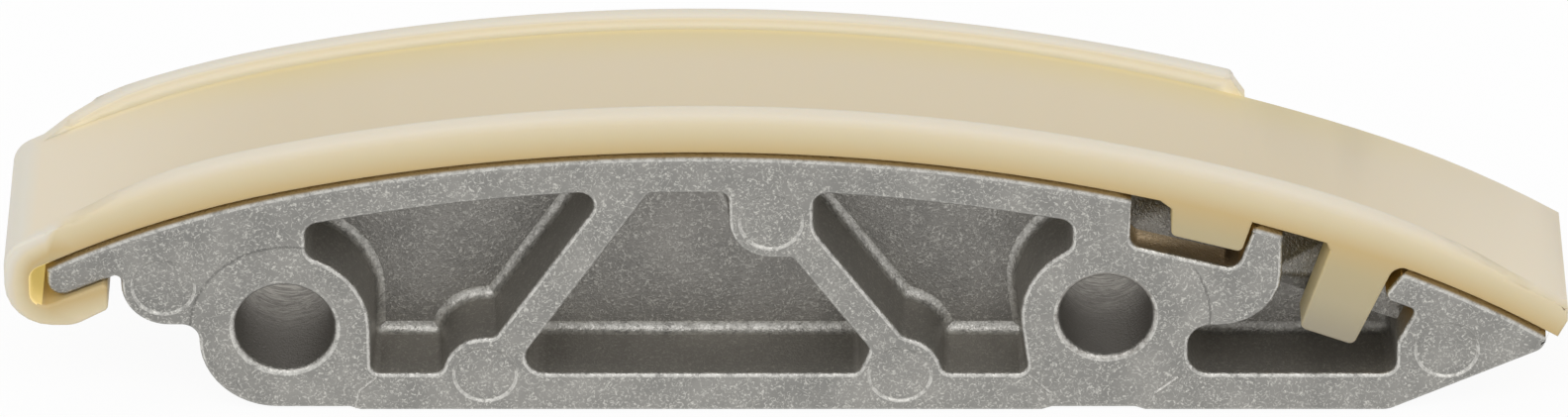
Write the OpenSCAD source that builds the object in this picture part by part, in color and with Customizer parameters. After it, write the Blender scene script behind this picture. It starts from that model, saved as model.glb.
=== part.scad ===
// Timing chain guide: a die-cast aluminium carrier with a moulded slide shoe hooked and clipped onto it.
// Frame: X along the guide, Y along the mounting bores, Z up from the base towards the chain.
// The origin is on the axis of the left mounting bore, midway through the casting.

/* [Mounting bores] */
// Diameter of the left mounting bore
left_bore_d = 8.5; // [6.5:0.1:9.5]
// Diameter of the right mounting bore
right_bore_d = 8.0; // [6.5:0.1:9.5]
// Distance between the two bore axes along the base
bore_spacing = 70.3; // [67:0.1:74]
// Height of the right bore axis above the left one
bore_rise = 1.2; // [0:0.1:2]
// Height of the left bore axis above the base
bore_height = 8.25; // [7.8:0.05:9]
// Outside radius of the cast boss round each bore
boss_r = 7.25; // [6.8:0.05:7.6]

/* [Slide path] */
// Radius of the seat that the shoe lies on, over the middle of the guide
seat_r = 163.4; // [150:0.1:190]
// Radius of the seat where it turns down at both ends
end_r = 88; // [70:1:130]
// Place of the crown along the guide
crown_x = 35.5; // [33:0.1:38]
// Height of the crown of the seat above the left bore axis
crown_z = 17.75; // [17:0.05:19]
// Place where the left end curve starts
left_turn_x = 0; // [-6:0.5:8]
// Place where the right end curve starts, past the right bore
right_turn = 22.7; // [20:0.1:26]

/* [Casting] */
// Thickness of the casting along the bores
cast_t = 16.5; // [15:0.1:18]
// Thickness of the rail under the seat
rail_t = 3.9; // [3:0.1:4.5]
// Thickness of the flange along the base
flange_t = 3.6; // [3:0.1:4.2]
// Thickness of the web between the pockets of the two faces
web_t = 2.7; // [2:0.1:5]
// Thickness of the left rib
left_rib_t = 2.9; // [2.2:0.1:3.4]
// Thickness of the right rib
right_rib_t = 2.9; // [2.2:0.1:3.4]
// Slope of the left rib above the base
left_rib_slope = 56.3; // [52:0.1:60]
// Rounding of the rail's two long edges
rail_edge_r = 1.0; // [0.4:0.1:1.4]
// Draft of the pocket walls
draft = 2.5; // [1:0.1:4]
// Fillet between the pocket walls and the web
floor_fillet = 0.5; // [0.3:0.1:1.0]
// How far the bosses stay above the surface that the flange stands on
foot_relief = 0.3; // [0.1:0.05:0.5]

/* [Ejector pads] */
// Diameter of the round marks that the ejector pins left
pin_d = 5.5; // [4:0.1:6]
// Depth of those marks
pin_depth = 0.2; // [0.1:0.05:0.4]
// Radius of the pads round the marks in the truss
pad_r = 3.55; // [3.2:0.05:3.8]
// Place of the pad at the foot of the left rib
left_foot_x = 17.1; // [16:0.1:18]
// Place of the pad at the head of the right rib
head_x = 41.9; // [40.5:0.1:43]
// Depth of that pad's middle below the seat
head_depth = 7.0; // [6.6:0.1:7.6]
// Place of the pad at the foot of the right rib
right_foot_x = 52.7; // [51.5:0.1:54]

/* [Nose] */
// Distance of the nose's end from the left bore axis
nose_reach = 20.2; // [19.5:0.1:21.5]
// Thickness of the nose under the seat
nose_t = 3.75; // [3:0.05:4.2]
// Radius of the lobe between the nose and the left boss
lobe_r = 4.0; // [3.6:0.1:4.4]
// Distance of the lobe's middle from the left bore axis
lobe_reach = 9.9; // [9.6:0.1:10.4]
// Height of the lobe's middle above the left bore axis
lobe_z = 4.3; // [3.9:0.1:4.6]

/* [Clip end] */
// Thickness of the wall that the clips of the shoe straddle
clip_wall_t = 10.3; // [8:0.1:11.5]
// Distance from the right bore axis to the near side of the notch for the tab
notch_reach = 2.0; // [1:0.1:3]
// Width of that notch
notch_w = 9.9; // [9:0.1:11]
// Depth of that notch below the seat
notch_depth = 5.2; // [4.2:0.1:5.6]
// Width of the post between the notch and the tongue's opening
post_w = 3.0; // [2.4:0.1:3.6]
// Depth below the seat of the edge that the tongue's barb catches under
catch_depth = 6.9; // [6:0.1:7.4]
// Distance from the right bore axis to the clip pocket's far wall
clip_end = 25.0; // [24:0.1:26.5]
// Distance from the right bore axis to the tip of the end block
tip_reach = 37.7; // [36.8:0.1:39]
// Slope of the underside of the end block
tip_slope = 25; // [22:0.5:27]
// Thickness of the end block at its tip
tip_t = 2.0; // [1.7:0.05:2.4]

/* [Slide shoe] */
// Width of the shoe over its lips
shoe_w = 17.5; // [16.5:0.1:20]
// Thickness of the shoe under the chain
shoe_t = 2.85; // [2:0.05:3.5]
// Thickness of each guide lip
lip_t = 1.5; // [1:0.1:2.2]
// Height of the front guide lip above the running face
front_lip_h = 1.1; // [0.6:0.05:1.3]
// Height of the rear guide lip above the running face, at the crown
rear_lip_h = 1.4; // [1.3:0.05:2.5]
// How much the rear lip grows from the crown to the step where it ends
lip_swell = 0.3; // [0:0.05:0.6]
// Length over which the rear lip rises from the hook
rear_fade_l = 10.4; // [6:0.1:14]
// Distance from the right bore axis to the step where the rear lip ends
rear_step = 11.3; // [10:0.1:13]
// Distance from the right bore axis to the far end of the shoe
shoe_reach = 38.7; // [37.8:0.1:40]
// Gap between the shoe and its seat
seat_gap = 0.05; // [0.02:0.01:0.2]

/* [Hook and clips] */
// Wall of the hook that wraps the nose
hook_t = 2.25; // [1.8:0.05:3]
// Gap between the hook and the end of the nose
hook_gap = 1.4; // [0.8:0.1:1.8]
// Thickness of the hook under the nose
hook_lip_t = 2.6; // [2:0.1:3.2]
// Length of the hook under the nose
hook_l = 8.8; // [7:0.1:9.2]
// Gap between the clips and the faces of the casting that they lie against
clip_gap = 0.1; // [0.05:0.05:0.3]
// Width of the tab in the notch
tab_w = 6.9; // [5:0.1:7.4]
// Depth of the tab below the seat
tab_drop = 3.1; // [2:0.1:3.8]
// Distance from the right bore axis to the middle of the tongue
tongue_reach = 21.9; // [21:0.1:22.4]
// Width of the tongue at its root
tongue_w = 5.8; // [4.6:0.1:6.2]
// Length of the tongue below the seat
tongue_l = 8.7; // [8.4:0.1:9.4]
// How far the tongue's barb reaches in under the clip wall
barb = 0.9; // [0.4:0.1:1.4]

/* [Hidden] */
$fn = 96;
// Points on each rounded corner of an outline, less one
arc_steps = 6;
// How far a cutting shape runs past the surface that it opens
past = 1;
// Longest straight stretch in a line that follows the seat
station = 2.5;

face_y = cast_t / 2;
clip_y = clip_wall_t / 2;
shoe_y = shoe_w / 2;
base_z = -bore_height;
flange_z = base_z + flange_t;
right_bore = [bore_spacing, bore_rise];
pocket_depth = (cast_t - web_t) / 2;
right_turn_x = bore_spacing + right_turn;

// The seat: a wide arc over the crown, and a tighter arc at each end that leaves it without a kink
crown_centre = [crown_x, crown_z - seat_r];
function from_vertical(a) = [sin(a), cos(a)];
left_turn_a = asin((left_turn_x - crown_x) / seat_r);
right_turn_a = asin((right_turn_x - crown_x) / seat_r);
left_centre = crown_centre + (seat_r - end_r) * from_vertical(left_turn_a);
right_centre = crown_centre + (seat_r - end_r) * from_vertical(right_turn_a);
function arc_centre(x) = x < left_turn_x ? left_centre : x > right_turn_x ? right_centre : crown_centre;
function arc_radius(x) = x < left_turn_x || x > right_turn_x ? end_r : seat_r;
function seat_a(x) = asin((x - arc_centre(x)[0]) / arc_radius(x));
// A point at height h square off the seat, over the place x on it
function seat_point(x, h = 0) = arc_centre(x) + (arc_radius(x) + h) * from_vertical(seat_a(x));
// How far the place x is from the crown, as the square of its share of the way to the end of the rear lip
step_x = bore_spacing + rear_step;
function bow(x) = pow((x - crown_x) / (step_x - crown_x), 2);
// A point square off the seat at the place x: t along it and h above it
function off_seat(x, t, h) = seat_point(x, h) + t * [cos(seat_a(x)), -sin(seat_a(x))];

// Outlines are lists of corners, each with its x, z and rounding radius, counterclockwise
function corner(p, r = 0) = [p[0], p[1], r];
function place(c) = [c[0], c[1]];
function unit(v) = v / norm(v);
function along(a) = [cos(a), sin(a)];
function turned(v, a) = [v[0] * cos(a) - v[1] * sin(a), v[0] * sin(a) + v[1] * cos(a)];
// Where the line through p at angle a meets the line through q at angle b
function meet(p, a, q, b) = p + along(a) * cross(q - p, along(b)) / cross(along(a), along(b));
function before(c, i) = place(c[(i + len(c) - 1) % len(c)]);
function after(c, i) = place(c[(i + 1) % len(c)]);

// The same outline with every side moved inwards by d
function shrunk(c, d) = [
    for (i = [0 : len(c) - 1])
        let (
            q = place(c[i]),
            a = unit(q - before(c, i)),
            b = unit(after(c, i) - q),
            shift = (turned(a, 90) + turned(b, 90)) * d / (1 + a * b),
            r = c[i][2]
        )
        corner(q + shift, r == 0 ? 0 : max(r - d * sign(cross(a, b)), 0.1))
];

// The points of an outline, with each corner rounded
function rounded(c, steps = arc_steps) = [
    for (i = [0 : len(c) - 1])
        let (
            q = place(c[i]),
            r = c[i][2],
            a = unit(before(c, i) - q),
            b = unit(after(c, i) - q),
            half = acos(a * b) / 2,
            middle = q + unit(a + b) * r / sin(half),
            first = q + a * r / tan(half) - middle,
            turn = (90 - half) * 2 * -sign(cross(a, b))
        )
        each r == 0 ? [q] : [for (k = [0 : steps]) middle + turned(first, turn * k / steps)]
];

// Extrudes an outline in X and Z through the thickness
module slab(y_from, y_to) {
    translate([0, y_to, 0]) rotate([90, 0, 0]) linear_extrude(y_to - y_from) children();
}

// Makes a feature of one face on both faces
module both_faces() {
    children();
    mirror([0, 1, 0]) children();
}

// Points along the seat between two places on it, at a height that is a function of the place
function line_over(x_from, x_to, height) =
    let (n = ceil(abs(x_to - x_from) / station))
    [for (k = [0 : n]) let (x = x_from + (x_to - x_from) * k / n) seat_point(x, height(x))];
// The same at one height all along
function seat_line(x_from, x_to, h) = line_over(x_from, x_to, function (x) h);

// Cuts a rounding of radius r along the edge on the side y that follows the seat at a height
module long_edge(x_from, x_to, y, r, height) {
    arc = [for (a = [90 : -30 : 0]) r * [sin(a) - 1, 1 - cos(a)]];
    // The first and the last side of the arc run on, out through the two surfaces that they meet
    lead = 2 * arc[0] - arc[1];
    tail = 2 * arc[3] - arc[2];
    section = [[past, -past], [past, lead[1]], lead, arc[1], arc[2], tail, [tail[0], -past]];
    m = len(section);
    n = ceil((x_to - x_from) / station);
    points = [
        for (i = [0 : n]) for (q = section)
            let (x = x_from + (x_to - x_from) * i / n, p = seat_point(x, height(x) + q[0]))
            [p[0], y + q[1], p[1]]
    ];
    sides = [
        for (i = [0 : n - 1]) for (k = [0 : m - 1])
            let (a = i * m + k, b = i * m + (k + 1) % m) each [[a, b, a + m], [b, b + m, a + m]]
    ];
    ends = [[for (k = [0 : m - 1]) (m - k) % m], [for (k = [0 : m - 1]) n * m + k]];
    polyhedron(points, concat(sides, ends));
}

// A bore along Y through the casting
module bore(at, d) {
    translate([at[0], 0, at[1]]) rotate([90, 0, 0]) cylinder(d = d, h = cast_t + 2 * past, center = true);
}

// The outside of the casting, with the seat along its top and relief under the two bosses
over_seat = crown_z + 4 * past;
nose_a = -seat_a(-nose_reach + nose_t);
nose_under = seat_point(-nose_reach + nose_t, -nose_t);
nose_end_r = 1.3;
nose_root_r = 0.5;
lobe_side_x = -lobe_reach - lobe_r;
lobe_under_z = lobe_z - lobe_r;
boss_foot_r = boss_r + 0.1;
boss_root_r = 1.5;
// The relief under each boss ends in a short slope down to the base
relief_z = base_z + foot_relief;
relief_run = 0.9;
relief_x = [boss_r - relief_run, bore_spacing - 5.4, bore_spacing + 3.5];
tip_x = bore_spacing + tip_reach;
tip_under = seat_point(tip_x) - [0, tip_t];
tip_end_r = 1.3;
tip_foot = meet([0, base_z], 0, tip_under, tip_slope);
tip_foot_r = 2.5;
casting_outline = concat(
    [
        corner(meet([-nose_reach, 0], 90, nose_under, nose_a), nose_end_r),
        corner(meet([lobe_side_x, 0], 90, nose_under, nose_a), nose_root_r),
        corner([lobe_side_x, lobe_under_z], lobe_r),
        corner([-boss_foot_r, lobe_under_z], boss_root_r),
        corner([-boss_foot_r, relief_z], min(boss_foot_r, lobe_under_z - relief_z - 1.1 * boss_root_r)),
        corner([relief_x[0] - relief_run, relief_z]),
        corner([relief_x[0], base_z]),
        corner([relief_x[1], base_z]),
        corner([relief_x[1] + relief_run, relief_z]),
        corner([relief_x[2] - relief_run, relief_z]),
        corner([relief_x[2], base_z]),
        corner(tip_foot, tip_foot_r),
        corner(tip_under, tip_end_r)
    ],
    [for (p = seat_line(tip_x, -nose_reach, -seat_gap)) corner(p)]
);

// The underside of the rail follows the seat: its point and its angle at the place x
function rail_point(x) = seat_point(x, -rail_t);
function rail_a(x) = -seat_a(x);
rail_r = seat_r - rail_t;
pocket_r = 1.3;
corner_r = 0.9;

// The pads and ribs of the truss
left_foot = [left_foot_x, flange_z];
right_foot = [right_foot_x, flange_z];
head = seat_point(head_x, -head_depth);
// Both ribs lie more on the far side of the line through their pads: the share of each on its near side
left_rib_share = 0.43;
right_rib_share = 0.2;
left_rib_near = left_foot + left_rib_share * left_rib_t * along(left_rib_slope + 90);
left_rib_far = left_foot - (1 - left_rib_share) * left_rib_t * along(left_rib_slope + 90);
right_rib_slope = atan2(right_foot[1] - head[1], right_foot[0] - head[0]);
right_rib_near = head - right_rib_share * right_rib_t * along(right_rib_slope + 90);
right_rib_far = head + (1 - right_rib_share) * right_rib_t * along(right_rib_slope + 90);
// The pocket's side leaves the flange at this angle and then goes round the pad
pad_lean = 75;
function pad_at(foot, a) = foot + pad_r * along(a);

// Left pocket, between the left boss, the rail and the left rib
left_pocket_x = 1.85;
left_boss_a = 66;
left_boss_point = boss_r * along(left_boss_a);
left_rail_x = [left_pocket_x + 3, left_foot_x + 6.9];
left_pocket = [
    corner(meet([left_pocket_x, 0], 90, rail_point(left_rail_x[0]), rail_a(left_rail_x[0])), pocket_r),
    corner(meet([left_pocket_x, 0], 90, left_boss_point, left_boss_a + 90), pocket_r),
    corner(meet([boss_r, 0], 90, left_boss_point, left_boss_a + 90), boss_r),
    corner([boss_r, flange_z], corner_r),
    corner(meet([0, flange_z], 0, pad_at(left_foot, pad_lean + 90), pad_lean), corner_r),
    corner(meet(pad_at(left_foot, 90), 0, pad_at(left_foot, pad_lean + 90), pad_lean), pad_r),
    corner(meet(pad_at(left_foot, 90), 0, left_rib_near, left_rib_slope), corner_r),
    corner(
        meet(rail_point(left_rail_x[1]), rail_a(left_rail_x[1]), left_rib_near, left_rib_slope),
        pocket_r
    ),
    corner(
        meet(
            rail_point(left_rail_x[0]), rail_a(left_rail_x[0]),
            rail_point(left_rail_x[1]), rail_a(left_rail_x[1])
        ),
        rail_r
    )
];

// Middle pocket, between the two ribs, under a rail that is a little thicker at the crown
crown_extra_t = 0.3;
middle_rail_x = (left_foot_x + right_foot_x) / 2;
middle_rail = seat_point(middle_rail_x, -rail_t - crown_extra_t);
rib_foot_r = 1.7;
rib_foot_z = flange_z + 0.7 * pad_r;
middle_pocket = [
    corner(meet([0, flange_z], 0, left_rib_far, left_rib_slope), rib_foot_r),
    corner([right_foot_x - pad_r, flange_z], corner_r),
    corner(meet([0, rib_foot_z], 0, right_rib_near, right_rib_slope), corner_r),
    corner(meet(head - [0, pad_r], 0, right_rib_near, right_rib_slope), corner_r),
    corner(head - [pad_r, pad_r], pad_r),
    corner(meet(head - [pad_r, 0], 90, middle_rail, rail_a(middle_rail_x)), corner_r),
    corner(
        meet(left_rib_far, left_rib_slope, middle_rail, rail_a(middle_rail_x)),
        corner_r
    )
];

// Right pocket, between the right rib, the rail and the right boss
right_pocket_x = bore_spacing - 2.9;
right_boss_a = 122;
right_boss_point = right_bore + boss_r * along(right_boss_a);
// The pocket runs in a little way under the boss
under_boss_a = 8;
under_boss_point = right_bore - boss_r * along(under_boss_a);
right_rib_lean = 70;
rib_head_r = 3;
right_rail_x = [head_x + 7, right_pocket_x - 4.4];
right_pocket = [
    corner(meet(head + [pad_r, 0], 90, rail_point(right_rail_x[0]), rail_a(right_rail_x[0])), pocket_r),
    corner(meet(head + [pad_r, 0], 90, right_rib_far, right_rib_slope), rib_head_r),
    corner(
        meet(pad_at(right_foot, right_rib_lean), right_rib_lean + 90, right_rib_far, right_rib_slope),
        corner_r
    ),
    corner(
        meet(
            pad_at(right_foot, right_rib_lean), right_rib_lean + 90,
            pad_at(right_foot, 90 - pad_lean), -pad_lean
        ),
        pad_r
    ),
    corner(meet([0, flange_z], 0, pad_at(right_foot, 90 - pad_lean), -pad_lean), corner_r),
    corner(meet([0, flange_z], 0, under_boss_point, under_boss_a + 90), corner_r),
    corner(meet(under_boss_point, under_boss_a + 90, right_boss_point, right_boss_a - 90), boss_r),
    corner(meet([right_pocket_x, 0], 90, right_boss_point, right_boss_a - 90), pocket_r),
    corner(meet([right_pocket_x, 0], 90, rail_point(right_rail_x[1]), rail_a(right_rail_x[1])), pocket_r),
    corner(
        meet(
            rail_point(right_rail_x[0]), rail_a(right_rail_x[0]),
            rail_point(right_rail_x[1]), rail_a(right_rail_x[1])
        ),
        rail_r
    )
];

// Clip pocket, open at the top between the post and the end block
notch_x = bore_spacing + notch_reach;
post_x = notch_x + notch_w;
clip_end_x = bore_spacing + clip_end;
clip_start_x = bore_spacing + boss_r - 0.25;
clip_start_r = 2;
clip_end_r = 1.2;
post_foot_z = flange_z + 4.95;
post_foot_r = post_w + 2.2;
// The end block has a small overhanging lip towards the tongue
lip_drop = 3.65;
lip_reach = 3.2;
lip_back = off_seat(clip_end_x, lip_reach, -lip_drop);
lip_tip = seat_point(clip_end_x, -lip_drop);
lip_face_a = 55;
lip_root_r = 1;
lip_r = [0.6, 0.7];
clip_pocket = [
    corner([post_x + post_w, over_seat]),
    corner([post_x + post_w, post_foot_z], post_foot_r),
    corner([clip_start_x, post_foot_z], clip_start_r),
    corner([clip_start_x, flange_z], clip_start_r),
    corner([clip_end_x, flange_z], clip_end_r),
    corner([clip_end_x, lip_back[1] - lip_reach], lip_root_r),
    corner(lip_back, lip_r[0]),
    corner(lip_tip, lip_r[1]),
    corner(meet(lip_tip, lip_face_a, [0, over_seat], 0))
];

// Points inside the pockets from which the whole of each outline can be seen
left_pocket_heart = [14.5, 6];
middle_pocket_heart = [middle_rail_x, 3];
right_pocket_heart = [right_foot_x + 4.3, 5];
clip_pocket_heart = [post_x + post_w + 1.5, flange_z + 2.65];

// One cast pocket: its walls lean in by the draft and run into the web with a fillet
function wall_inset(y) = (y + past) * tan(draft);
module pocket(outline, heart) {
    wall_end = pocket_depth - floor_fillet;
    levels = concat(
        [[-past, 0]],
        [
            for (a = [0 : 30 : 90])
                [wall_end + floor_fillet * sin(a), wall_inset(wall_end) + floor_fillet * (1 - cos(a))]
        ]
    );
    rings = [for (level = levels) rounded(shrunk(outline, level[1]))];
    n = len(rings[0]);
    last = len(levels) - 1;
    points = concat(
        [for (k = [0 : last]) for (p = rings[k]) [p[0], levels[k][0] - face_y, p[1]]],
        [for (k = [0, last]) [heart[0], levels[k][0] - face_y, heart[1]]]
    );
    front = n * (last + 1);
    faces = concat(
        [for (k = [0 : last - 1]) for (i = [0 : n - 1]) [k * n + i, k * n + (i + 1) % n, (k + 1) * n + i]],
        [
            for (k = [0 : last - 1]) for (i = [0 : n - 1])
                [k * n + (i + 1) % n, (k + 1) * n + (i + 1) % n, (k + 1) * n + i]
        ],
        [for (i = [0 : n - 1]) [front, (i + 1) % n, i]],
        [for (i = [0 : n - 1]) [front + 1, last * n + i, last * n + (i + 1) % n]]
    );
    polyhedron(points, faces);
}

// The notch that the tab of the shoe drops into, cut into one face down to the clip wall
notch_mid = notch_x + notch_w / 2;
notch_floor = seat_point(notch_mid, -notch_depth);
notch_floor_a = -seat_a(notch_mid);
notch_r = [1, 1.2];
notch_corner_r = 1.1;
// The post's near side is square to the seat, and this is where it meets the seat
post_top_x = post_x + notch_depth / 2 * sin(seat_a(post_x));
post_top = seat_point(post_top_x);
post_top_a = 90 - seat_a(post_top_x);
post_corner_r = 1.3;
module notch() {
    slab(-face_y - past, -clip_y)
        polygon(rounded([
            corner([notch_x - 2 * notch_corner_r, over_seat]),
            corner(off_seat(notch_x, -2 * notch_corner_r, seat_gap)),
            corner(seat_point(notch_x), notch_corner_r),
            corner(meet([notch_x, 0], 90, notch_floor, notch_floor_a), notch_r[0]),
            corner(meet(post_top, post_top_a, notch_floor, notch_floor_a), notch_r[1]),
            corner(post_top, post_corner_r),
            corner(off_seat(post_top_x, post_w, past / 2)),
            corner([post_top[0] + post_w, over_seat])
        ]));
}

// Rounds the top corner of the end block over its lip
block_corner_r = 1.3;
module block_corner() {
    top = meet(lip_tip, lip_face_a, seat_point(clip_end_x), -seat_a(clip_end_x));
    top_x = top[0] + (clip_end_x - seat_point(clip_end_x)[0]);
    side = top - 2 * block_corner_r * along(lip_face_a) - [seat_gap, 0];
    slab(-face_y - past, -clip_y)
        polygon(rounded([
            corner(side),
            corner(seat_point(top_x, seat_gap), block_corner_r),
            corner(off_seat(top_x, 2 * block_corner_r, seat_gap)),
            corner([top_x + 2 * block_corner_r, over_seat]),
            corner([side[0], over_seat])
        ]));
}

// The wall behind the tongue: its lower edge is what the barb catches under
tongue_x = bore_spacing + tongue_reach;
module clip_wall() {
    wall_from = -post_w - tongue_w;
    wall_to = tongue_w + past;
    slab(-clip_y, clip_y)
        polygon([
            off_seat(tongue_x, wall_from, -catch_depth),
            off_seat(tongue_x, wall_to, -catch_depth),
            off_seat(tongue_x, wall_to, past),
            off_seat(tongue_x, wall_from, past)
        ]);
}

// Round marks of the ejector pins in the front face: in the lobe, on the three pads and in the end block
lobe_mark = [-lobe_reach - 0.4, lobe_z - 0.2];
tip_mark = seat_point(tip_x - 5.7, -6);
pin_marks = [lobe_mark, left_foot, head, right_foot, tip_mark];

module carrier() {
    color("#8e8e8b")
        difference() {
            slab(-face_y, face_y) polygon(rounded(casting_outline, 2 * arc_steps));
            both_faces() {
                pocket(left_pocket, left_pocket_heart);
                pocket(middle_pocket, middle_pocket_heart);
                pocket(right_pocket, right_pocket_heart);
                difference() {
                    pocket(clip_pocket, clip_pocket_heart);
                    clip_wall();
                }
                notch();
                block_corner();
                long_edge(
                    -nose_reach - past / 2, tip_x + past / 2, -face_y, rail_edge_r, function (x) -seat_gap
                );
            }
            bore([0, 0], left_bore_d);
            bore(right_bore, right_bore_d);
            for (at = pin_marks)
                translate([at[0], -face_y, at[1]])
                    rotate([90, 0, 0]) cylinder(d = pin_d, h = 2 * pin_depth, center = true);
        }
}

// The hook that wraps the nose at the left end
hook_x = -nose_reach - hook_gap - hook_t;
hook_tip_x = hook_x + hook_l;
// The strip and its rear lip start a little inside the hook's wall
strip_inset = 1.7;
strip_x = hook_x + hook_t + strip_inset;
hook_floor = nose_under - [0, clip_gap / cos(nose_a)];
hook_z = meet([-nose_reach + nose_end_r, 0], 90, hook_floor, nose_a)[1] - hook_lip_t;
hook_top_r = 2.6;
hook_back_r = 4;
// The end of the hook under the nose slopes up and is rounded, more so below
hook_tip_run = 2.9;
hook_tip_rise = 1.6;
hook_tip_r = [3, 0.5, 0.4];
hook_root_r = [1.2, 1.2];
strip_a = -seat_a(strip_x);
shoe_end_x = bore_spacing + shoe_reach;
narrow_y = shoe_y - lip_t;
// The lips swell away from the crown, and fade out towards the ends of the shoe in parabolas
rear_edge = function (x) shoe_t + rear_lip_h + lip_swell * bow(x);
function rear_faded(x) = max(0, 1 - (x - strip_x) / rear_fade_l);
rear_lip_top = function (x) shoe_t + (rear_edge(x) - shoe_t) * (1 - pow(rear_faded(x), 2));
// Where each fade of the front lip starts, and its length
front_swell = lip_swell / 2;
left_fade = [-5, 11];
right_fade = [bore_spacing + 13.7, 20];
least_lip = 0.03;
function faded(x) = max(0, (left_fade[0] - x) / left_fade[1], (x - right_fade[0]) / right_fade[1]);
front_lip_top = function (x)
    shoe_t + max(least_lip, (front_lip_h + front_swell * bow(x)) * (1 - pow(faded(x), 2)));
// The far end is cut off square to the base
shoe_end = seat_point(shoe_end_x);
end_lean = 0.8;
top_end_x = shoe_end_x + end_lean - shoe_t * sin(seat_a(shoe_end_x));
// The whole shoe from the side: hook, underside, end, and the rear lip down to the hook
shoe_outline = concat(
    [for (p = seat_line(strip_x, shoe_end_x, 0)) corner(p)],
    [corner(shoe_end + [end_lean, 2 * end_lean]), corner(seat_point(top_end_x, shoe_t))],
    [for (p = line_over(top_end_x - past, strip_x, rear_lip_top)) corner(p)],
    [
        corner(meet([hook_x, 0], 90, seat_point(strip_x, shoe_t), strip_a), hook_top_r),
        corner([hook_x, hook_z], hook_back_r),
        corner([hook_tip_x - hook_tip_run, hook_z], hook_tip_r[0]),
        corner([hook_tip_x, hook_z + hook_tip_rise], hook_tip_r[1]),
        corner(meet([hook_tip_x, 0], 90, hook_floor, nose_a), hook_tip_r[2]),
        corner(meet([hook_x + hook_t, 0], 90, hook_floor, nose_a), hook_root_r[0]),
        corner(meet([hook_x + hook_t, 0], 90, seat_point(strip_x), strip_a), hook_root_r[1])
    ]
);

// Clears what is over a height, from one side to the other
over_lips = rear_lip_top(shoe_end_x) + past;
module over_shoe(height, y_from, y_to) {
    slab(y_from, y_to)
        polygon(concat(line_over(strip_x, top_end_x, height), seat_line(top_end_x, strip_x, over_lips)));
}

// Clears the rear side of the shoe past the slanted end of its rear lip
step_slant = 1.1;
module rear_trim() {
    high = rear_lip_top(step_x) + past;
    slab(narrow_y, shoe_y + past)
        polygon(concat(
            seat_line(step_x, shoe_end_x + 2 * past, -past),
            seat_line(shoe_end_x + 2 * past, step_x - step_slant * (high - shoe_t), high),
            [seat_point(step_x, shoe_t)]
        ));
}

// The tab that drops into the notch, with a small gusset on its left
gusset = 0.6;
gusset_l = 1.6;
gusset_a = 140;
root_h = shoe_t / 2;
tab_r = 0.5;
tab_end_x = post_top_x - 3 * clip_gap;
tab_x = tab_end_x - tab_w;
module tab(y_from, y_to) {
    tab_mid = tab_x + tab_w / 2;
    tab_under = seat_point(tab_mid, -tab_drop);
    tab_under_a = -seat_a(tab_mid);
    shoulder = seat_point(tab_x) - [0, gusset];
    start = shoulder + gusset_l * along(gusset_a);
    slab(y_from, y_to)
        polygon(rounded([
            corner(start),
            corner(shoulder),
            corner(meet([tab_x, 0], 90, tab_under, tab_under_a), tab_r),
            corner(meet(seat_point(tab_end_x), post_top_a, tab_under, tab_under_a), tab_r),
            corner(seat_point(tab_end_x, root_h)),
            corner(start + [0, root_h])
        ]));
}

// The tongue, which narrows towards its end and has a barb on its inner side
tongue_end_w = tongue_w - 0.8;
tongue_r = 0.6;
tongue_root_r = 1.2;
module tongue(y_from, y_to) {
    shoulder = off_seat(tongue_x, -tongue_w / 2, -gusset);
    slab(y_from, y_to)
        polygon(rounded([
            corner(off_seat(tongue_x, -tongue_w / 2 - gusset, root_h)),
            corner(off_seat(tongue_x, -tongue_w / 2 - gusset, seat_gap)),
            corner(shoulder),
            corner(off_seat(tongue_x, -tongue_end_w / 2, -tongue_l), tongue_r),
            corner(off_seat(tongue_x, tongue_end_w / 2, -tongue_l), tongue_r),
            corner(off_seat(tongue_x, tongue_w / 2, seat_gap), tongue_root_r),
            corner(seat_point(tongue_x + tongue_w / 2 + 2 * tongue_root_r, seat_gap)),
            corner(off_seat(tongue_x, tongue_w / 2, root_h))
        ]));
}

// The barb of a tongue, under the lower edge of the clip wall
module tongue_barb() {
    barb_w = 0.7 * tongue_end_w;
    barb_top = -catch_depth - clip_gap;
    barb_foot = -tongue_l + tongue_r / 2;
    slab(-clip_y - clip_gap - barb, -clip_y - clip_gap + barb)
        polygon([
            off_seat(tongue_x, -barb_w / 2, barb_foot),
            off_seat(tongue_x, barb_w / 2, barb_foot),
            off_seat(tongue_x, barb_w / 2, barb_top),
            off_seat(tongue_x, -barb_w / 2, barb_top)
        ]);
}

module slide_shoe() {
    clip_in = clip_y + clip_gap;
    // The rounding of the rear lip's outer edge stays level, so it leaves the lip where the lip fades
    rear_edge_r = 0.35 * lip_t;
    rear_from = strip_x + rear_fade_l / 4;
    rear_to = step_x + 2 * past;
    // The front lip's rounding is larger and runs out from the middle of the fades to the ends of the shoe
    front_edge_r = 0.75 * lip_t;
    front_from = strip_x + past / 2;
    front_to = top_end_x - past / 2;
    left_out = left_fade[0] - left_fade[1] / 2;
    right_out = right_fade[0] + right_fade[1] / 2;
    function run_out(x) = max(0, (left_out - x) / (left_out - front_from), (x - right_out) / (front_to - right_out));
    clear_of_lip = 1.05 * front_edge_r;
    front_edge = function (x) front_lip_top(x) + clear_of_lip * pow(run_out(x), 2);
    color("#d8c8a6")
        union() {
            difference() {
                slab(-shoe_y, shoe_y) polygon(rounded(shoe_outline));
                over_shoe(function (x) shoe_t, -narrow_y, narrow_y);
                over_shoe(front_lip_top, -shoe_y - past, -narrow_y + past);
                rear_trim();
                long_edge(front_from, front_to, -shoe_y, front_edge_r, front_edge);
                mirror([0, 1, 0]) long_edge(rear_from, rear_to, -shoe_y, rear_edge_r, rear_edge);
            }
            tab(-shoe_y, -clip_in);
            tab(clip_in, shoe_y);
            tongue(-shoe_y, -clip_in);
            tongue(clip_in, narrow_y);
            both_faces() tongue_barb();
        }
}

carrier();
slide_shoe();
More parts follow.
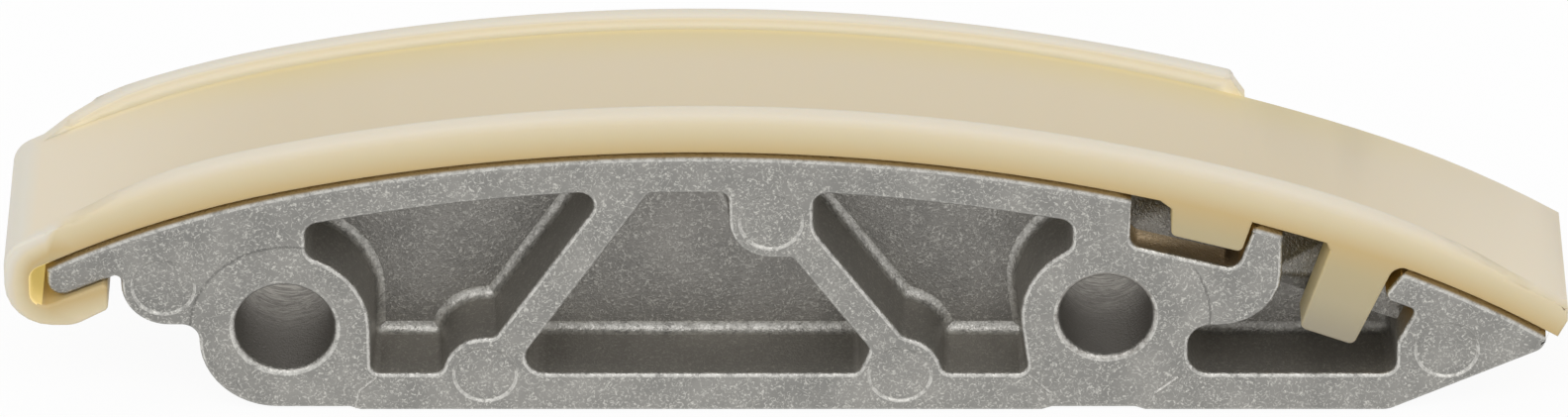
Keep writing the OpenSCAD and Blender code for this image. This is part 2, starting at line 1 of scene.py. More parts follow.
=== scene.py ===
import math

import bmesh
import bpy
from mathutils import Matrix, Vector
from mathutils.geometry import intersect_point_line


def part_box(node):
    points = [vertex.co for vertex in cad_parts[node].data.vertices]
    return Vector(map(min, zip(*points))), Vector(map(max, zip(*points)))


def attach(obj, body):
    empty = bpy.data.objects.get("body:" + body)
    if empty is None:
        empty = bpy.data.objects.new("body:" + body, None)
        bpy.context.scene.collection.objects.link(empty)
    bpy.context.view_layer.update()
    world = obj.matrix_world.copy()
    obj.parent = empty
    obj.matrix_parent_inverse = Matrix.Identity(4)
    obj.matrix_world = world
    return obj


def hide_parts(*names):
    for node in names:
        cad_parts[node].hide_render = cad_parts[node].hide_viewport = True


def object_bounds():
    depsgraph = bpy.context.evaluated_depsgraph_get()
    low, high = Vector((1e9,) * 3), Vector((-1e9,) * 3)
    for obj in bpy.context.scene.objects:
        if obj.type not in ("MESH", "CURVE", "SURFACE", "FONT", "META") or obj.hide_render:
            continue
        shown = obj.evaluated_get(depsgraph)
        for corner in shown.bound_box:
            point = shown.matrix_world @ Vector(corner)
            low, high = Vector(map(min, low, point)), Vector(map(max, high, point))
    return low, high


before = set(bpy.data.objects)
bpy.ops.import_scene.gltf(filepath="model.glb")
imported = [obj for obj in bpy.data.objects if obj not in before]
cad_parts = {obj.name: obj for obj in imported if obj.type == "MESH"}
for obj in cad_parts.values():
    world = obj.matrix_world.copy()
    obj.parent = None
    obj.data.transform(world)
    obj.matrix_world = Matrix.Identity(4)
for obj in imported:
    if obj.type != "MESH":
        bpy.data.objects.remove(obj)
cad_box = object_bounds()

scene = bpy.context.scene
scene.view_settings.view_transform = "Standard"


# Camera: the photograph looks down on the front face with a long lens, square to the guide.
# Its frame is 1584 by 421 pixels, and one pixel is 0.085 mm where the guide stands.
photo_width_px = 1584
pixel_size = 0.085e-3
look_down = math.radians(31.2)
camera_distance = 1.13
camera_target = Vector((0.042744, 0, 0.007021))
camera = bpy.data.objects.new("camera", bpy.data.cameras.new("camera"))
scene.collection.objects.link(camera)
camera.location = camera_target + camera_distance * Vector((0, -math.cos(look_down), math.sin(look_down)))
camera.rotation_euler = (math.pi / 2 - look_down, 0, 0)
camera.data.sensor_width = 36
camera.data.lens = camera.data.sensor_width * camera_distance / (photo_width_px * pixel_size)
camera.data.clip_start = 0.01
camera.data.clip_end = 20
scene.camera = camera


# Studio: a plain white floor under one wide soft box, above and a little in front of the guide.
# The floor and the world look white to the camera, and the floor keeps a soft shadow.
def linear(hex_colour):
    channels = [int(hex_colour[i:i + 2], 16) / 255 for i in (1, 3, 5)]
    return [c / 12.92 if c <= 0.04045 else ((c + 0.055) / 1.055) ** 2.4 for c in channels] + [1]


def add(material, kind, settings, **links):
    """Adds one node: its settings, then its sockets by name, each linked or set to a value."""
    tree = material.node_tree
    node = tree.nodes.new("ShaderNode" + kind)
    for name, value in settings.items():
        setattr(node, name, value)
    for name, value in links.items():
        key = int(name[1:]) if name[1:].isdigit() else name.replace("_", " ")
        if isinstance(value, bpy.types.NodeSocket):
            tree.links.new(value, node.inputs[key])
        else:
            node.inputs[key].default_value = value
    return node


def new_material(name):
    material = bpy.data.materials.new(name)
    material.use_nodes = True
    material.node_tree.nodes.clear()
    return material


def soft_box(name, place, aim, size, watts):
    lamp = bpy.data.lights.new(name, "AREA")
    lamp.shape = "RECTANGLE"
    lamp.size, lamp.size_y = size
    lamp.energy = watts
    lamp_object = bpy.data.objects.new(name, lamp)
    lamp_object.location = place
    lamp_object.rotation_euler = (Vector(aim) - Vector(place)).to_track_quat("-Z", "Y").to_euler()
    scene.collection.objects.link(lamp_object)


guide_middle = (0.043, 0, 0.005)
soft_box("top_box", (0.043, -0.60, 0.82), guide_middle, (1.8, 0.45), 4.8)

world = bpy.data.worlds.new("studio")
scene.world = world
world.use_nodes = True
world.node_tree.nodes.clear()
world_path = add(world, "LightPath", {})
world_seen = add(
    world, "Math", {"operation": "MAXIMUM"},
    _0=world_path.outputs["Is Camera Ray"], _1=world_path.outputs["Is Transmission Ray"],
)
world_level = add(world, "MapRange", {}, _0=world_seen.outputs[0], To_Min=0.72)
sky = add(world, "Background", {}, Color=linear("#ffffff"), Strength=world_level.outputs[0])
add(world, "OutputWorld", {}, Surface=sky.outputs[0])

floor_mesh = bpy.data.meshes.new("floor")
floor_bm = bmesh.new()
bmesh.ops.create_grid(floor_bm, x_segments=1, y_segments=1, size=4)
bmesh.ops.translate(floor_bm, verts=floor_bm.verts, vec=(0, 0, cad_box[0].z))
floor_bm.to_mesh(floor_mesh)
floor_bm.free()
floor = bpy.data.objects.new("floor", floor_mesh)
scene.collection.objects.link(floor)

# Matt white paper: the camera sees mostly plain white, with part of the true shading for the shadow
paper = new_material("white_paper")
paper_path = add(paper, "LightPath", {})
paper_seen = add(
    paper, "Math", {"operation": "MAXIMUM"},
    _0=paper_path.outputs["Is Camera Ray"], _1=paper_path.outputs["Is Glossy Ray"],
)
paper_seen = add(
    paper, "Math", {"operation": "MAXIMUM"},
    _0=paper_seen.outputs[0], _1=paper_path.outputs["Is Transmission Ray"],
)
paper_share = add(paper, "MapRange", {}, _0=paper_seen.outputs[0], To_Max=0.93)
paper_matt = add(paper, "BsdfDiffuse", {}, Color=linear("#f4f4f4"))
paper_white = add(paper, "Emission", {}, Color=linear("#ffffff"), Strength=1.0)
paper_mix = add(
    paper, "MixShader", {},
    _0=paper_share.outputs[0], _1=paper_matt.outputs[0], _2=paper_white.outputs[0],
)
add(paper, "OutputMaterial", {}, Surface=paper_mix.outputs[0])
floor_mesh.materials.append(paper)


# Carrier: the pressure die casting that bolts to the engine and holds the shoe in its curve.
# Aluminium as cast, with edges rounded by the die and by tumbling, and both bores drilled.
def merged_copy(node):
    """The node's mesh with its loose triangles joined."""
    bm = bmesh.new()
    bm.from_mesh(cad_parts[node].data)
    bmesh.ops.remove_doubles(bm, verts=bm.verts, dist=2e-6)
    bmesh.ops.dissolve_degenerate(bm, edges=bm.edges, dist=5e-6)
    return bm


def outer_edges(bm, y, least_angle):
    """The outer edges that lie in the two planes at this distance from the middle."""
    return [
        e for e in bm.edges
        if len(e.link_faces) == 2
        and e.calc_face_angle_signed() > least_angle
        and all(abs(abs(v.co.y) - y) < 3e-6 for v in e.verts)
    ]


def round_edges(bm, edges, width, segments):
    """Rounds the edges and gives back the new faces."""
    made = bmesh.ops.bevel(
        bm, geom=edges, offset=width, offset_type="OFFSET", affect="EDGES", segments=segments,
        profile=0.5, material=-1, clamp_overlap=False, loop_slide=False,
    )
    return made["faces"]


def finish_mesh(bm, name, node, material):
    """Makes the piece from its mesh, in place of the CAD node, with level faces shaded level."""
    mesh = bpy.data.meshes.new(name)
    for face in bm.faces:
        face.smooth = True
    bm.to_mesh(mesh)
    bm.free()
    mesh.set_sharp_from_angle(angle=math.radians(40))
    mesh.materials.append(material)
    piece = bpy.data.objects.new(name, mesh)
    scene.collection.objects.link(piece)
    weighted = piece.modifiers.new("level_faces", "WEIGHTED_NORMAL")
    weighted.keep_sharp = True
    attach(piece, "root")
    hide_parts(node)


# The seat curve between casting and shoe is one long arc with a tighter arc at each end
crown_centre = Vector((35.5e-3, 0, -145.65e-3))
crown_r = 163.4e-3
end_r = 88e-3
end_turns = (math.radians(-12.55), math.radians(20.6))


def store_seat_height(bm):
    """Stores how far each point is above the seat curve."""
    above_seat = bm.verts.layers.float.new("above_seat")
    for v in bm.verts:
        arm = v.co - crown_centre
        turn = math.atan2(arm.x, arm.z)
        if end_turns[0] < turn < end_turns[1]:
            v[above_seat] = math.hypot(arm.x, arm.z) - crown_r
        else:
            turn = min(max(turn, end_turns[0]), end_turns[1])
            arm -= (crown_r - end_r) * Vector((math.sin(turn), 0, math.cos(turn)))
            v[above_seat] = math.hypot(arm.x, arm.z) - end_r
    return above_seat


least_edge_angle = math.radians(40)
face_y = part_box("carrier")[1].y
casting = merged_copy("carrier")

# The ejector marks are 0.2 mm deep, and their sides lean in as far
mark_depth = 0.2e-3
mark_floors = {
    face for face in casting.faces
    if face.normal.y < -0.99 and abs(face.calc_center_median().y + face_y - mark_depth) < 3e-6
}
while mark_floors:
    mark_floor = [mark_floors.pop()]
    for face in mark_floor:
        beside = {other for e in face.edges for other in e.link_faces} & mark_floors
        mark_floors -= beside
        mark_floor += beside
    mark_verts = {v for face in mark_floor for v in face.verts}
    mark_centre = sum((v.co for v in mark_verts), Vector()) / len(mark_verts)
    for v in mark_verts:
        v.co += mark_depth * (mark_centre - v.co).normalized()

# The fillets round the pocket floors are worn in the die, from 0.5 mm to 0.85 mm
floor_y = 1.35e-3
fillet_r = 0.5e-3
fillet_growth = 0.35e-3
fillet_moves = {}
for v in casting.verts:
    rise = (abs(v.co.y) - floor_y) / fillet_r
    wall_side = Vector((
        sum(face.normal.x for face in v.link_faces), 0, sum(face.normal.z for face in v.link_faces),
    ))
    if -0.01 < rise < 1.01 and wall_side.length > 0.05:
        sink = min(max(1 - rise, 0), 1)
        inward = (1 - math.sqrt(1 - sink * sink)) * wall_side.normalized()
        fillet_moves[v] = inward + Vector((0, math.copysign(1 - sink, v.co.y), 0))
for v, move in fillet_moves.items():
    v.co += fillet_growth * move
casting.normal_update()

# Each kind of edge is picked afresh, because rounding one kind renews the faces beside the others
mark_rims = [
    e for e in outer_edges(casting, face_y, least_edge_angle)
    if all(v.co.y < 1.5 * mark_depth - face_y for face in e.link_faces for v in face.verts)
]
round_edges(casting, mark_rims, 0.15e-3, 3)
bore_centres = (Vector((0, 0, 0)), Vector((70.3e-3, 0, 1.2e-3)))
bore_zone_r = 4.4e-3
bore_rims = [
    e for e in outer_edges(casting, face_y, least_edge_angle)
    if any((v.co - centre).xz.length < bore_zone_r for v in e.verts for centre in bore_centres)
]
round_edges(casting, bore_rims, 0.5e-3, 3)
round_edges(casting, outer_edges(casting, face_y, least_edge_angle), 0.3e-3, 3)
# The rounding overshoots at the sharp tip, and that point is drawn back to its neighbour
tip_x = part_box("carrier")[1].x
for v in casting.verts:
    if v.co.x > tip_x + 1e-6:
        v.co = min((e.other_vert(v).co for e in v.link_edges), key=lambda other: (other - v.co).length)
bmesh.ops.remove_doubles(casting, verts=casting.verts, dist=1e-6)

# Fine ridges on the front show where the feet of the bosses run out into the flange
foot_ridges = (
    ((5.98, -7.98), (6.32, -6.29), (7.85, -4.90)),
    ((63.71, -4.68), (65.67, -6.53), (65.69, -7.49)),
    ((76.60, -4.89), (74.58, -6.53), (74.49, -7.29)),
)
ridge_half = 0.16e-3
ridge_height = 0.12e-3
for ridge in foot_ridges:
    line = [Vector((1e-3 * x, -face_y, 1e-3 * z)) for x, z in ridge]
    rings = []
    for i, point in enumerate(line):
        along = line[min(i + 1, len(line) - 1)] - line[max(i - 1, 0)]
        across = ridge_half * Vector((-along.z, 0, along.x)).normalized()
        sunk = Vector((0, 0.02e-3, 0))
        crest = Vector((0, -ridge_height, 0))
        rings.append([casting.verts.new(point + step) for step in (sunk - across, crest, sunk + across)])
    ridge_faces = [casting.faces.new(rings[0]), casting.faces.new(rings[-1])]
    for near_ring, far_ring in zip(rings, rings[1:]):
        for i in range(3):
            corners = (near_ring[i - 1], near_ring[i], far_ring[i], far_ring[i - 1])
            ridge_faces.append(casting.faces.new(corners))
    bmesh.ops.recalc_face_normals(casting, faces=ridge_faces)

# Faces that round an edge are marked as rubbed: worn, with a painted highlight most where they face up, and
# more wear at the ends of the rail.
# Up-facing pocket fillets get a painted highlight, and the faces along the bores and through the pockets are
# marked for painted light that lifts the walls.
edge_depth = 1.0e-3
pocket_depth = 2.0e-3
rail_foot = -1.8e-3
rail_middle_x = 42.5e-3
bore_rim_r = 5.2e-3
clip_pocket_x = 78e-3
cast_height = store_seat_height(casting)
rubbed_and_highlit = casting.faces.layers.float.new("rubbed_and_highlit")
painted_wall_light = casting.faces.layers.float.new("painted_wall_light")
for face in casting.faces:
    middle = face.calc_center_median()
    lean = abs(face.normal.y)
    depth = face_y - abs(middle.y)
    if lean < 0.2:
        face[painted_wall_light] = 1.0
    elif lean < 0.97 and depth < edge_depth:
        face[rubbed_and_highlit] = 1.0 if face.normal.z > -0.1 else 0.25
        if all(v.co.y < mark_depth + 1e-5 - face_y for v in face.verts):
            face[rubbed_and_highlit] *= 0.7
        elif all(v[cast_height] > rail_foot for v in face.verts):
            to_end = (abs(middle.x - rail_middle_x) - 30e-3) / 15e-3
            face[rubbed_and_highlit] *= 0.3 + 0.5 * min(max(to_end, 0), 1)
        elif any((middle - centre).xz.length < bore_rim_r for centre in bore_centres):
            face[rubbed_and_highlit] *= 0.6
    elif lean < 0.97 and depth > pocket_depth:
        face[rubbed_and_highlit] = 0.6 * min(max((face.normal.z + 0.5) / 0.8, 0), 1)
        if middle.x > clip_pocket_x:
            face[rubbed_and_highlit] *= 0.3

# Aluminium as it leaves the die: a soft grey shine, cloudy and finely grained, brighter where it is worn,
# with painted highlights and shade
cast_aluminium = new_material("as_cast_aluminium")
cast_at = add(cast_aluminium, "TexCoord", {}).outputs["Object"]
cast_xyz = add(cast_aluminium, "SeparateXYZ", {}, _0=cast_at)
cast_flat = add(cast_aluminium, "CombineXYZ", {}, X=cast_xyz.outputs["X"], Z=cast_xyz.outputs["Z"])
cast_off_middle = add(cast_aluminium, "Math", {"operation": "ABSOLUTE"}, _0=cast_xyz.outputs["Y"])
# Cloudy flow marks of about 4 mm, a grain of 0.25 mm, and bright strokes in it about 0.5 mm long
clouds = add(cast_aluminium, "TexNoise", {}, Vector=cast_at, Scale=1000 / 4.0, Detail=3.0, Roughness=0.5)
cloud_share = add(cast_aluminium, "MapRange", {}, Value=clouds.outputs["Fac"], From_Min=0.3, From_Max=0.7)
cast_clouded = add(
    cast_aluminium, "Mix", {"data_type": "RGBA"},
    _0=cloud_share.outputs[0], _6=linear("#8f8e8a"), _7=linear("#a3a19c"),
)
grain = add(
    cast_aluminium, "TexNoise", {},
    Vector=cast_at, Scale=1000 / 0.25, Detail=2.0, Roughness=0.6, Distortion=0.8,
)
strokes = add(
    cast_aluminium, "TexNoise", {}, Vector=cast_at, Scale=1000 / 0.5, Detail=1.0, Distortion=0.8,
)
stroke_ridge = add(
    cast_aluminium, "Math", {"operation": "PINGPONG"}, _0=strokes.outputs["Fac"], _1=0.5,
)
stroke_share = add(
    cast_aluminium, "MapRange", {}, Value=stroke_ridge.outputs[0], From_Min=0.43, From_Max=0.49,
)
speck_share = add(
    cast_aluminium, "MapRange", {}, Value=grain.outputs["Fac"], From_Min=0.42, From_Max=0.62,
)
speck_share = add(
    cast_aluminium, "Math", {"operation": "MULTIPLY"}, _0=speck_share.outputs[0], _1=stroke_share.outputs[0],
)
cast_skin = add(
    cast_aluminium, "Mix", {"data_type": "RGBA"},
    _0=speck_share.outputs[0], _6=cast_clouded.outputs[2], _7=linear("#d6d4cd"),
)
# Painted shade: the skin is painted darker deep in the pockets, and painted light lifts their sides and the
# bore walls
pocket_shade_share = add(
    cast_aluminium, "MapRange", {},
    Value=cast_off_middle.outputs[0], From_Min=face_y - 0.3e-3, From_Max=face_y - pocket_depth, To_Max=0.3,
)
cast_pocket_shaded = add(
    cast_aluminium, "Mix", {"data_type": "RGBA"},
    _0=pocket_shade_share.outputs[0], _6=cast_skin.outputs[2], _7=linear("#6b6661"),
)
wall_light_mask = add(cast_aluminium, "Attribute", {"attribute_name": "painted_wall_light"})
wall_light_share = add(cast_aluminium, "Math", {"operation": "MULTIPLY"}, _0=wall_light_mask.outputs["Fac"], _1=0.3)
cast_walls_lit = add(
    cast_aluminium, "Mix", {"data_type": "RGBA"},
    _0=wall_light_share.outputs[0], _6=cast_pocket_shaded.outputs[2], _7=linear("#cbc5bb"),
)
# Both bores are drilled: turned marks about 0.4 mm apart, with painted light brightening them towards the
# back opening
bore_reach = [
    add(cast_aluminium, "VectorMath", {"operation": "DISTANCE"}, _0=cast_flat.outputs[0], _1=centre)
    for centre in bore_centres
]
nearest_bore = add(
    cast_aluminium, "Math", {"operation": "MINIMUM"},
    _0=bore_reach[0].outputs["Value"], _1=bore_reach[1].outputs["Value"],
)
in_bore = add(
    cast_aluminium, "Math", {"operation": "LESS_THAN"}, _0=nearest_bore.outputs[0], _1=bore_zone_r,
)
turned_at = add(
    cast_aluminium, "VectorMath", {"operation": "MULTIPLY"},
    _0=cast_at, _1=(1000 / 2.0, 1000 / 0.4, 1000 / 2.0),
)
turned = add(
    cast_aluminium, "TexNoise", {}, Vector=turned_at.outputs[0], Scale=1.0, Detail=4.0, Distortion=1.5,
)
back_opening_light = add(
    cast_aluminium, "MapRange", {"interpolation_type": "SMOOTHSTEP"},
    Value=cast_xyz.outputs["Y"], From_Min=-4.0e-3, From_Max=5.0e-3,
)
turned_share = add(
    cast_aluminium, "MapRange", {}, Value=turned.outputs["Fac"], From_Min=0.35, From_Max=0.65,
)
turned_share = add(
    cast_aluminium, "Math", {"operation": "MULTIPLY"}, _0=turned_share.outputs[0], _1=back_opening_light.outputs[0],
)
turned_and_back_lit = add(
    cast_aluminium, "Mix", {"data_type": "RGBA"},
    _0=turned_share.outputs[0], _6=linear("#918d87"), _7=linear("#c8c4bc"),
)
cast_bored = add(
    cast_aluminium, "Mix", {"data_type": "RGBA"},
    _0=in_bore.outputs[0], _6=cast_walls_lit.outputs[2], _7=turned_and_back_lit.outputs[2],
)
# Bare metal shines through on the rubbed edges in patches of about 0.7 mm; the same patches carry a painted
# highlight on up-facing edges, on the pocket fillets and along the rail under the shoe
wear_and_highlight_mask = add(cast_aluminium, "Attribute", {"attribute_name": "rubbed_and_highlit"})
rub_patches = add(
    cast_aluminium, "TexNoise", {}, Vector=cast_at, Scale=1000 / 0.7, Detail=4.0, Roughness=0.8,
)
rub_share = add(
    cast_aluminium, "MapRange", {}, Value=rub_patches.outputs["Fac"], From_Min=0.34, From_Max=0.56,
)
below_shoe = add(cast_aluminium, "Attribute", {"attribute_name": "above_seat"})
rail_edge_highlight = add(
    cast_aluminium, "MapRange", {},
    Value=below_shoe.outputs["Fac"], From_Min=-1.4e-3, From_Max=-1.1e-3, To_Max=0.1,
)
wear_and_highlight_area = add(
    cast_aluminium, "Math", {"operation": "MAXIMUM"}, _0=wear_and_highlight_mask.outputs["Fac"], _1=rail_edge_highlight.outputs[0],
)
bare_and_highlit = add(
    cast_aluminium, "Math", {"operation": "MULTIPLY"}, _0=wear_and_highlight_area.outputs[0], _1=rub_share.outputs[0],
)
cast_worn_and_highlit = add(
    cast_aluminium, "Mix", {"data_type": "RGBA"},
    _0=bare_and_highlit.outputs[0], _6=cast_bored.outputs[2], _7=linear("#e4e2dc"),
)
# Painted reflection: the walls of the notches under the shoe are painted brown for light bounced off the
# shoe
in_notch = add(
    cast_aluminium, "MapRange", {}, Value=cast_xyz.outputs["X"], From_Min=71.5e-3, From_Max=72.5e-3,
)
near_shoe = add(
    cast_aluminium, "MapRange", {}, Value=below_shoe.outputs["Fac"], From_Min=-7.0e-3, From_Max=-3.5e-3,
)
shoe_bounce_share = add(
    cast_aluminium, "Math", {"operation": "MULTIPLY"}, _0=in_notch.outputs[0], _1=near_shoe.outputs[0],
)
shoe_bounce_share = add(
    cast_aluminium, "Math", {"operation": "MULTIPLY"}, _0=shoe_bounce_share.outputs[0], _1=wall_light_mask.outputs["Fac"],
)
cast_shoe_bounce = add(
    cast_aluminium, "Mix", {"data_type": "RGBA"},
    _0=shoe_bounce_share.outputs[0], _6=cast_worn_and_highlit.outputs[2], _7=linear("#b3935a"),
)
# Painted shadow under the overhang of the shoe: the metal is painted dark, and brown from the light that the
# shoe lets through
shoe_shadow_share = add(
    cast_aluminium, "MapRange", {"interpolation_type": "SMOOTHSTEP"},
    Value=below_shoe.outputs["Fac"], From_Min=-0.9e-3, From_Max=-0.6e-3,
)
cast_colour = add(
    cast_aluminium, "Mix", {"data_type": "RGBA"},
    _0=shoe_shadow_share.outputs[0], _6=cast_shoe_bounce.outputs[2], _7=linear("#8f784f"),
)
cast_roughness = add(cast_aluminium, "MapRange", {}, Value=bare_and_highlit.outputs[0], To_Min=0.5, To_Max=0.38)
# The spot faces round the bores are sunk a little, and fade out at the feet and over the right bore
on_face = add(
    cast_aluminium, "MapRange", {},
    Value=cast_off_middle.outputs[0], From_Min=face_y - 0.25e-3, From_Max=face_y - 0.05e-3,
)
over_feet = add(
    cast_aluminium, "MapRange", {}, Value=cast_xyz.outputs["Z"], From_Min=-4.5e-3, From_Max=-3.0e-3,
)
spot_shown = add(
    cast_aluminium, "Math", {"operation": "MULTIPLY"}, _0=on_face.outputs[0], _1=over_feet.outputs[0],
)
spot_faces = (((0.35e-3, 0, -0.35e-3), 8.5e-3, 10.0e-3), ((70.3e-3, 0, 1.2e-3), 8.9e-3, 6.5e-3))
spot_normal = add(cast_aluminium, "NewGeometry", {}).outputs["Normal"]
for spot_centre, spot_r, spot_top in spot_faces:
    spot_reach = add(
        cast_aluminium, "VectorMath", {"operation": "DISTANCE"}, _0=cast_flat.outputs[0], _1=spot_centre,
    )
    spot_edge = add(
        cast_aluminium, "MapRange", {"interpolation_type": "SMOOTHSTEP"},
        Value=spot_reach.outputs["Value"], From_Min=spot_r - 0.15e-3, From_Max=spot_r + 0.15e-3,
    )
    under_top = add(
        cast_aluminium, "MapRange", {},
        Value=cast_xyz.outputs["Z"], From_Min=spot_top, From_Max=spot_top - 1.0e-3,
    )
    spot_strength = add(
        cast_aluminium, "Math", {"operation": "MULTIPLY"}, _0=spot_shown.outputs[0], _1=under_top.outputs[0],
    )
    spot_bump = add(
        cast_aluminium, "Bump", {}, Height=spot_edge.outputs[0], Distance=0.25e-3,
        Strength=spot_strength.outputs[0], Normal=spot_normal,
    )
    spot_normal = spot_bump.outputs[0]
cast_bump = add(
    cast_aluminium, "Bump", {},
    Height=grain.outputs["Fac"], Distance=0.08e-3, Strength=1.0, Normal=spot_normal,
)
cast_shader = add(
    cast_aluminium, "BsdfPrincipled", {},
    Base_Color=cast_colour.outputs[2], Metallic=1.0, Roughness=cast_roughness.outputs[0],
    Normal=cast_bump.outputs[0],
)
add(cast_aluminium, "OutputMaterial", {}, Surface=cast_shader.outputs[0])
finish_mesh(casting, "cast_carrier", "carrier", cast_aluminium)


# Slide shoe: the moulding that the chain runs on, hooked over the nose and clipped at the far end.
# Cream polyamide with a satin skin, a little translucent at its edges.
shoe_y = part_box("slide_shoe")[1].y
lip_y = shoe_y - 1.5e-3
strip_top = 2.85e-3
lip_least = strip_top + 0.6e-3
lip_end_x = 82.5e-3
moulding = merged_copy("slide_shoe")
seat_height = store_seat_height(moulding)
front_lip_edges = [
    e for e in outer_edges(moulding, lip_y, least_edge_angle)
    if all(v.co.y < 0 and v[seat_height] > lip_least for v in e.verts)
]
round_edges(moulding, front_lip_edges, 0.2e-3, 2)
rear_lip_edges = [
    e for e in outer_edges(moulding, lip_y, least_edge_angle)
    if all(v.co.y > 0 and v[seat_height] > lip_least for v in e.verts)
]
round_edges(moulding, rear_lip_edges, 0.5e-3, 4)
round_edges(moulding, outer_edges(moulding, shoe_y, least_edge_angle), 0.3e-3, 3)

# Points on the running face are marked, so that its colour blends into the lips
running = moulding.verts.layers.float.new("running")
for v in moulding.verts:
    if abs(v[seat_height] - strip_top) < 0.06e-3 and abs(v.co.y) < lip_y + 1e-5:
        v[running] = 1.0

# Painted light: a glow stands in for light that comes through the wall of the hook, and weakly through the
# rear lip and the sides of the tab and the tongue
hook_x = -19.5e-3
clip_x = 70e-3
lit_through = moulding.faces.layers.float.new("lit_through")
for face in moulding.faces:
    middle = face.calc_center_median()
    height = min(v[seat_height] for v in face.verts)
    if middle.x < hook_x and face.normal.x > 0.3:
        face[lit_through] = 0.7
    elif middle.y > lip_y - 1e-5 and height > strip_top - 0.05e-3 and face.normal.y < -0.9:
        face[lit_through] = 0.13
    elif middle.x > clip_x and height < -1e-3 and abs(face.normal.x) > 0.6:
        face[lit_through] = 0.1

# Painted shade on the hook: its shade height grows away from the nose, so it pales away from the nose as the
# strip does away from the seat
nose_from = Vector((hook_x, 0, 5.4e-3))
nose_to = Vector((-15.0e-3, 0, 7.3e-3))
hook_inside = 1.6e-3
inside_height = -1.5e-3
for v in moulding.verts:
    flat = Vector((v.co.x, 0, v.co.z))
    if flat.x < nose_from.x or (flat.x < nose_to.x + 0.3e-3 and v[seat_height] < 0):
        near, share = intersect_point_line(flat, nose_from, nose_to)
        near = nose_from if share < 0 else nose_to if share > 1 else near
        paler = 2.5 + 1.2 * min(0, (flat - near).normalized().z)
        v[seat_height] = paler * ((flat - near).length - hook_inside) + inside_height

# Moulded polyamide: a satin cream that light sinks into a little, so that its edges look soft
polyamide = new_material("cream_polyamide")
polyamide_at = add(polyamide, "TexCoord", {}).outputs["Object"]
polyamide_xyz = add(polyamide, "SeparateXYZ", {}, _0=polyamide_at)
# Painted shade: amber near the seat, where light is lost in the joint, and painted lighter towards the edges
# of the lips
shade_height = add(polyamide, "Attribute", {"attribute_name": "above_seat"})
shade_steps = (
    (-8.0, -5.0, "#b2a686"),
    (-5.0, -2.0, "#b9aa83"),
    (-2.0, 0.3, "#c6ad7a"),
    (0.3, 1.8, "#d3c39c"),
    (1.8, 2.9, "#dcceae"),
    (2.9, 3.7, "#dcd2be"),
    (3.7, 4.6, "#dfd9ca"),
)
painted_shade_colour = linear("#9e957f")
for low, high, shade in shade_steps:
    shade_share = add(
        polyamide, "MapRange", {},
        Value=shade_height.outputs["Fac"], From_Min=low * 1e-3, From_Max=high * 1e-3,
    )
    shade_mix = add(
        polyamide, "Mix", {"data_type": "RGBA"},
        _0=shade_share.outputs[0], _6=painted_shade_colour, _7=linear(shade),
    )
    painted_shade_colour = shade_mix.outputs[2]
# Painted light: the rear lip is painted lighter for the light that it gets from the running face
on_rear_lip = add(
    polyamide, "MapRange", {},
    Value=polyamide_xyz.outputs["Y"], From_Min=lip_y - 0.2e-3, From_Max=lip_y - 0.1e-3, To_Max=0.3,
)
below_top = add(
    polyamide, "MapRange", {}, Value=shade_height.outputs["Fac"], From_Min=4.4e-3, From_Max=3.8e-3,
)
rear_lip_light_share = add(
    polyamide, "Math", {"operation": "MULTIPLY"}, _0=on_rear_lip.outputs[0], _1=below_top.outputs[0],
)
rear_lip_lit_colour = add(
    polyamide, "Mix", {"data_type": "RGBA"},
    _0=rear_lip_light_share.outputs[0], _6=painted_shade_colour, _7=linear("#efe5cd"),
)
# The running face is even, with painted bounce light a little yellower along the rear lip and painted light
# paler towards its ends
rear_lip_bounce_share = add(
    polyamide, "MapRange", {"interpolation_type": "SMOOTHSTEP"},
    Value=polyamide_xyz.outputs["Y"], From_Min=1.0e-3, From_Max=lip_y,
)
running_colour = add(
    polyamide, "Mix", {"data_type": "RGBA"},
    _0=rear_lip_bounce_share.outputs[0], _6=linear("#d7c9ad"), _7=linear("#d8c9a1"),
)
from_middle = add(
    polyamide, "Math", {"operation": "SUBTRACT"}, _0=polyamide_xyz.outputs["X"], _1=rail_middle_x,
)
from_middle = add(polyamide, "Math", {"operation": "ABSOLUTE"}, _0=from_middle.outputs[0])
end_light_share = add(
    polyamide, "MapRange", {"interpolation_type": "SMOOTHSTEP"},
    Value=from_middle.outputs[0], From_Min=40.0e-3, From_Max=68.0e-3,
)
running_lit_ends = add(
    polyamide, "Mix", {"data_type": "RGBA"},
    _0=end_light_share.outputs[0], _6=running_colour.outputs[2], _7=linear("#e5d9c2"),
)
on_run = add(polyamide, "Attribute", {"attribute_name": "running"})
facing = add(polyamide, "NewGeometry", {})
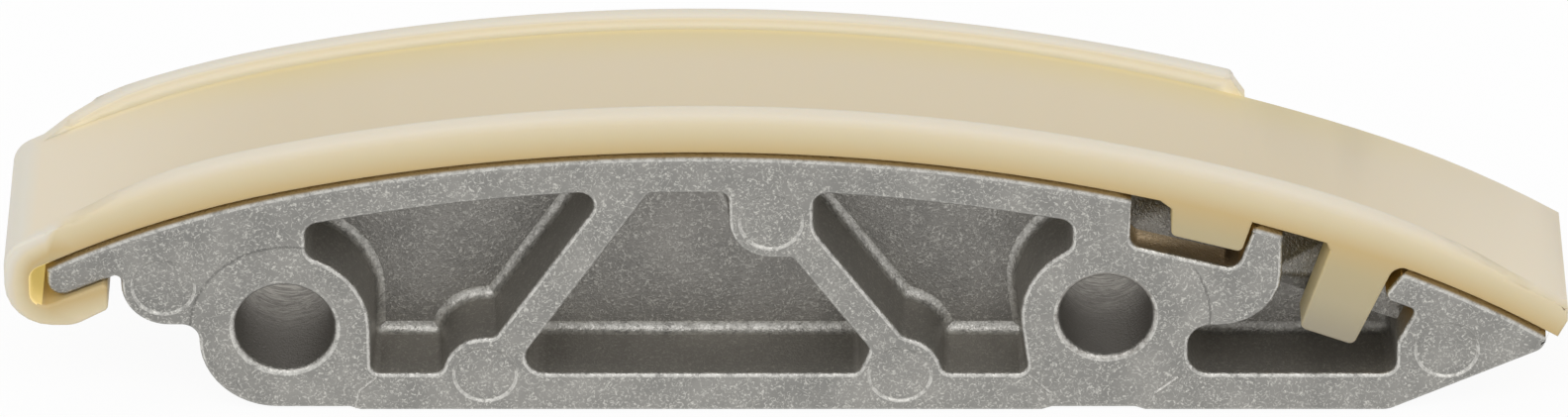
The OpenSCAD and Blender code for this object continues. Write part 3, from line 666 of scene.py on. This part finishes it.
facing_xyz = add(polyamide, "SeparateXYZ", {}, _0=facing.outputs["True Normal"])
faces_up = add(polyamide, "Math", {"operation": "GREATER_THAN"}, _0=facing_xyz.outputs["Z"], _1=0.6)
on_top = add(
    polyamide, "Math", {"operation": "MULTIPLY"}, _0=on_run.outputs["Fac"], _1=faces_up.outputs[0],
)
polyamide_colour = add(
    polyamide, "Mix", {"data_type": "RGBA"},
    _0=on_top.outputs[0], _6=rear_lip_lit_colour.outputs[2], _7=running_lit_ends.outputs[2],
)
# Painted light: a glow stands in for the light that comes through the moulding, amber, and also along the
# root of the rear lip
through = add(polyamide, "Attribute", {"attribute_name": "lit_through"})
root_reach = add(
    polyamide, "MapRange", {},
    Value=polyamide_xyz.outputs["Y"], From_Min=lip_y - 0.8e-3, From_Max=lip_y, To_Max=0.16,
)
root_height = add(
    polyamide, "MapRange", {},
    Value=shade_height.outputs["Fac"], From_Min=strip_top + 0.5e-3, From_Max=strip_top,
)
before_lip_end = add(
    polyamide, "MapRange", {},
    Value=polyamide_xyz.outputs["X"], From_Min=lip_end_x + 0.5e-3, From_Max=lip_end_x - 0.5e-3,
)
root_light = add(
    polyamide, "Math", {"operation": "MULTIPLY"}, _0=root_reach.outputs[0], _1=root_height.outputs[0],
)
root_light = add(
    polyamide, "Math", {"operation": "MULTIPLY"}, _0=root_light.outputs[0], _1=before_lip_end.outputs[0],
)
through_light = add(
    polyamide, "Math", {"operation": "ADD"}, _0=through.outputs["Fac"], _1=root_light.outputs[0],
)
polyamide_shader = add(
    polyamide, "BsdfPrincipled", {},
    Base_Color=polyamide_colour.outputs[2], Roughness=0.5, IOR=1.53,
    Subsurface_Weight=0.15, Subsurface_Scale=0.6e-3, Subsurface_Radius=(1.0, 0.7, 0.35),
    Emission_Color=linear("#c6b268"), Emission_Strength=through_light.outputs[0],
)
add(polyamide, "OutputMaterial", {}, Surface=polyamide_shader.outputs[0])
finish_mesh(moulding, "moulded_shoe", "slide_shoe", polyamide)
